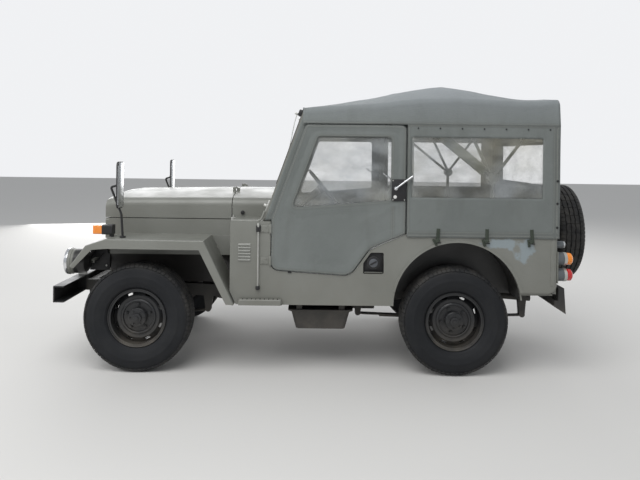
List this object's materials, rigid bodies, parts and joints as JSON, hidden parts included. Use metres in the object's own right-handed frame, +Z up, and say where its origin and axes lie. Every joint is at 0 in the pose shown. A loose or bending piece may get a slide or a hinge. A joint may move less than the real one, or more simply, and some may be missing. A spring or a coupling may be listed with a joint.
{
  "type": "army 4x4 car",
  "caption": "Light military 4x4 utility car: open steel tub with canvas top and doors, live axles on leaf springs, folded wings, upright slotted grille and a spare wheel on the swing tailgate.",
  "frame": {"origin": "on the ground, under the middle of the overall bounding box", "axes": "+X forward, +Y to the car's left, +Z up"},
  "size_m": [3.886, 1.665, 2.0917],
  "materials": {
    "body_paint": "matt olive grey paint, weathered",
    "canvas": "waxed cotton canvas, faded",
    "seat_cloth": "coated cloth",
    "chassis_black": "satin black chassis paint, dusty",
    "bumper_black": "satin black paint",
    "wheel_black": "gloss black paint",
    "bow_green": "matt paint",
    "bare_steel": "zinc plated",
    "cast_metal": "cast, oily",
    "tyre": "matt black rubber",
    "clear_sheet": "clear flexible sheet, yellowed and scuffed",
    "glass": "clear glass",
    "lamp_glass": "fluted lamp glass",
    "amber_lens": "amber lamp lens",
    "red_lens": "red lamp lens",
    "black_plastic": "moulded"
  },
  "bodies": {
    "chassis": {"frame": "chassis_black", "front_bumper": "bumper_black", "towing_eyes": "bare_steel", "rear_bumperettes": "chassis_black", "tow_pintle": "chassis_black", "front_axle": "chassis_black", "rear_axle": "chassis_black", "leaf_springs": "chassis_black", "dampers": "chassis_black", "engine_block": "cast_metal", "gearbox": "cast_metal", "propshafts": "chassis_black", "exhaust": "chassis_black", "fuel_tank": "chassis_black", "radiator": "chassis_black", "floor": "body_paint", "side_left": "body_paint", "side_right": "body_paint", "tail_panel": "body_paint", "cowl": "body_paint", "grille": "body_paint", "wing_left": "body_paint", "wing_right": "body_paint", "windscreen_frame": "body_paint", "windscreen_glass": "glass", "headlamp_buckets": "body_paint", "headlamp_lenses": "lamp_glass", "signal_housings": "bumper_black", "amber_lenses": "amber_lens", "red_lenses": "red_lens", "clear_lenses": "lamp_glass", "mirrors": "bumper_black", "canopy": "canvas", "canopy_windows": "clear_sheet", "canopy_bows": "bow_green", "seat_frames": "bow_green", "seat_cushions": "seat_cloth", "steering_column": "chassis_black", "side_steps": "chassis_black"},
    "bonnet": {"bonnet": "body_paint"},
    "door_left": {"door_left": "canvas", "door_left_pane": "clear_sheet"},
    "door_right": {"door_right": "canvas", "door_right_pane": "clear_sheet"},
    "tailgate": {"tailgate": "body_paint", "rim_spare": "wheel_black", "tyre_spare": "tyre"},
    "steering_wheel": {"steering_wheel": "black_plastic"},
    "knuckle_left": {"knuckle_left": "chassis_black"},
    "knuckle_right": {"knuckle_right": "chassis_black"},
    "tie_rod": {"tie_rod": "chassis_black"},
    "wheel_front_left": {"tyre_front_left": "tyre", "rim_front_left": "wheel_black"},
    "wheel_front_right": {"tyre_front_right": "tyre", "rim_front_right": "wheel_black"},
    "wheel_rear_left": {"tyre_rear_left": "tyre", "rim_rear_left": "wheel_black"},
    "wheel_rear_right": {"tyre_rear_right": "tyre", "rim_rear_right": "wheel_black"}
  },
  "joints": [
    {"name": "bonnet_hinge", "type": "hinge", "parent": "chassis", "child": "bonnet", "pos_m": [0.748, 0, 1.272], "axis": [0, -1, 0], "range_deg": [0, 60]},
    {"name": "door_left_hinge", "type": "hinge", "parent": "chassis", "child": "door_left", "pos_m": [0.437, 0.799, 1], "axis": [0, 0, -1], "range_deg": [0, 75]},
    {"name": "door_right_hinge", "type": "hinge", "parent": "chassis", "child": "door_right", "pos_m": [0.437, -0.799, 1], "axis": [0, 0, 1], "range_deg": [0, 75]},
    {"name": "tailgate_hinge", "type": "hinge", "parent": "chassis", "child": "tailgate", "pos_m": [-1.565, -0.455, 0.8], "axis": [0, 0, 1], "range_deg": [0, 80]},
    {"name": "steer_left", "type": "hinge", "parent": "chassis", "child": "knuckle_left", "pos_m": [1.37, 0.545, 0.378], "axis": [0, 0, 1], "range_deg": [-27, 27]},
    {"name": "steer_right", "type": "hinge", "parent": "chassis", "child": "knuckle_right", "pos_m": [1.37, -0.545, 0.378], "axis": [0, 0, 1], "range_deg": [-27, 27]},
    {"name": "tie_rod_pivot", "type": "hinge", "parent": "knuckle_left", "child": "tie_rod", "pos_m": [1.52, 0.545, 0.388], "axis": [0, 0, 1], "range_deg": [-27, 27]},
    {"name": "steering_wheel_turn", "type": "hinge", "parent": "chassis", "child": "steering_wheel", "pos_m": [0.072, -0.38, 1.25], "axis": [0.766, 0, -0.6428], "range_deg": [-432, 432]},
    {"name": "front_left_spin", "type": "hinge", "parent": "knuckle_left", "child": "wheel_front_left", "pos_m": [1.37, 0.665, 0.378], "axis": [0, 1, 0], "continuous": true},
    {"name": "front_right_spin", "type": "hinge", "parent": "knuckle_right", "child": "wheel_front_right", "pos_m": [1.37, -0.665, 0.378], "axis": [0, 1, 0], "continuous": true},
    {"name": "rear_left_spin", "type": "hinge", "parent": "chassis", "child": "wheel_rear_left", "pos_m": [-0.855, 0.665, 0.378], "axis": [0, 1, 0], "continuous": true},
    {"name": "rear_right_spin", "type": "hinge", "parent": "chassis", "child": "wheel_rear_right", "pos_m": [-0.855, -0.665, 0.378], "axis": [0, 1, 0], "continuous": true}
  ],
  "couplings": [
    {"joint": "steer_right", "follows": "steer_left", "ratio": 1},
    {"joint": "tie_rod_pivot", "follows": "steer_left", "ratio": -1},
    {"joint": "steering_wheel_turn", "follows": "steer_left", "ratio": -16}
  ]
}
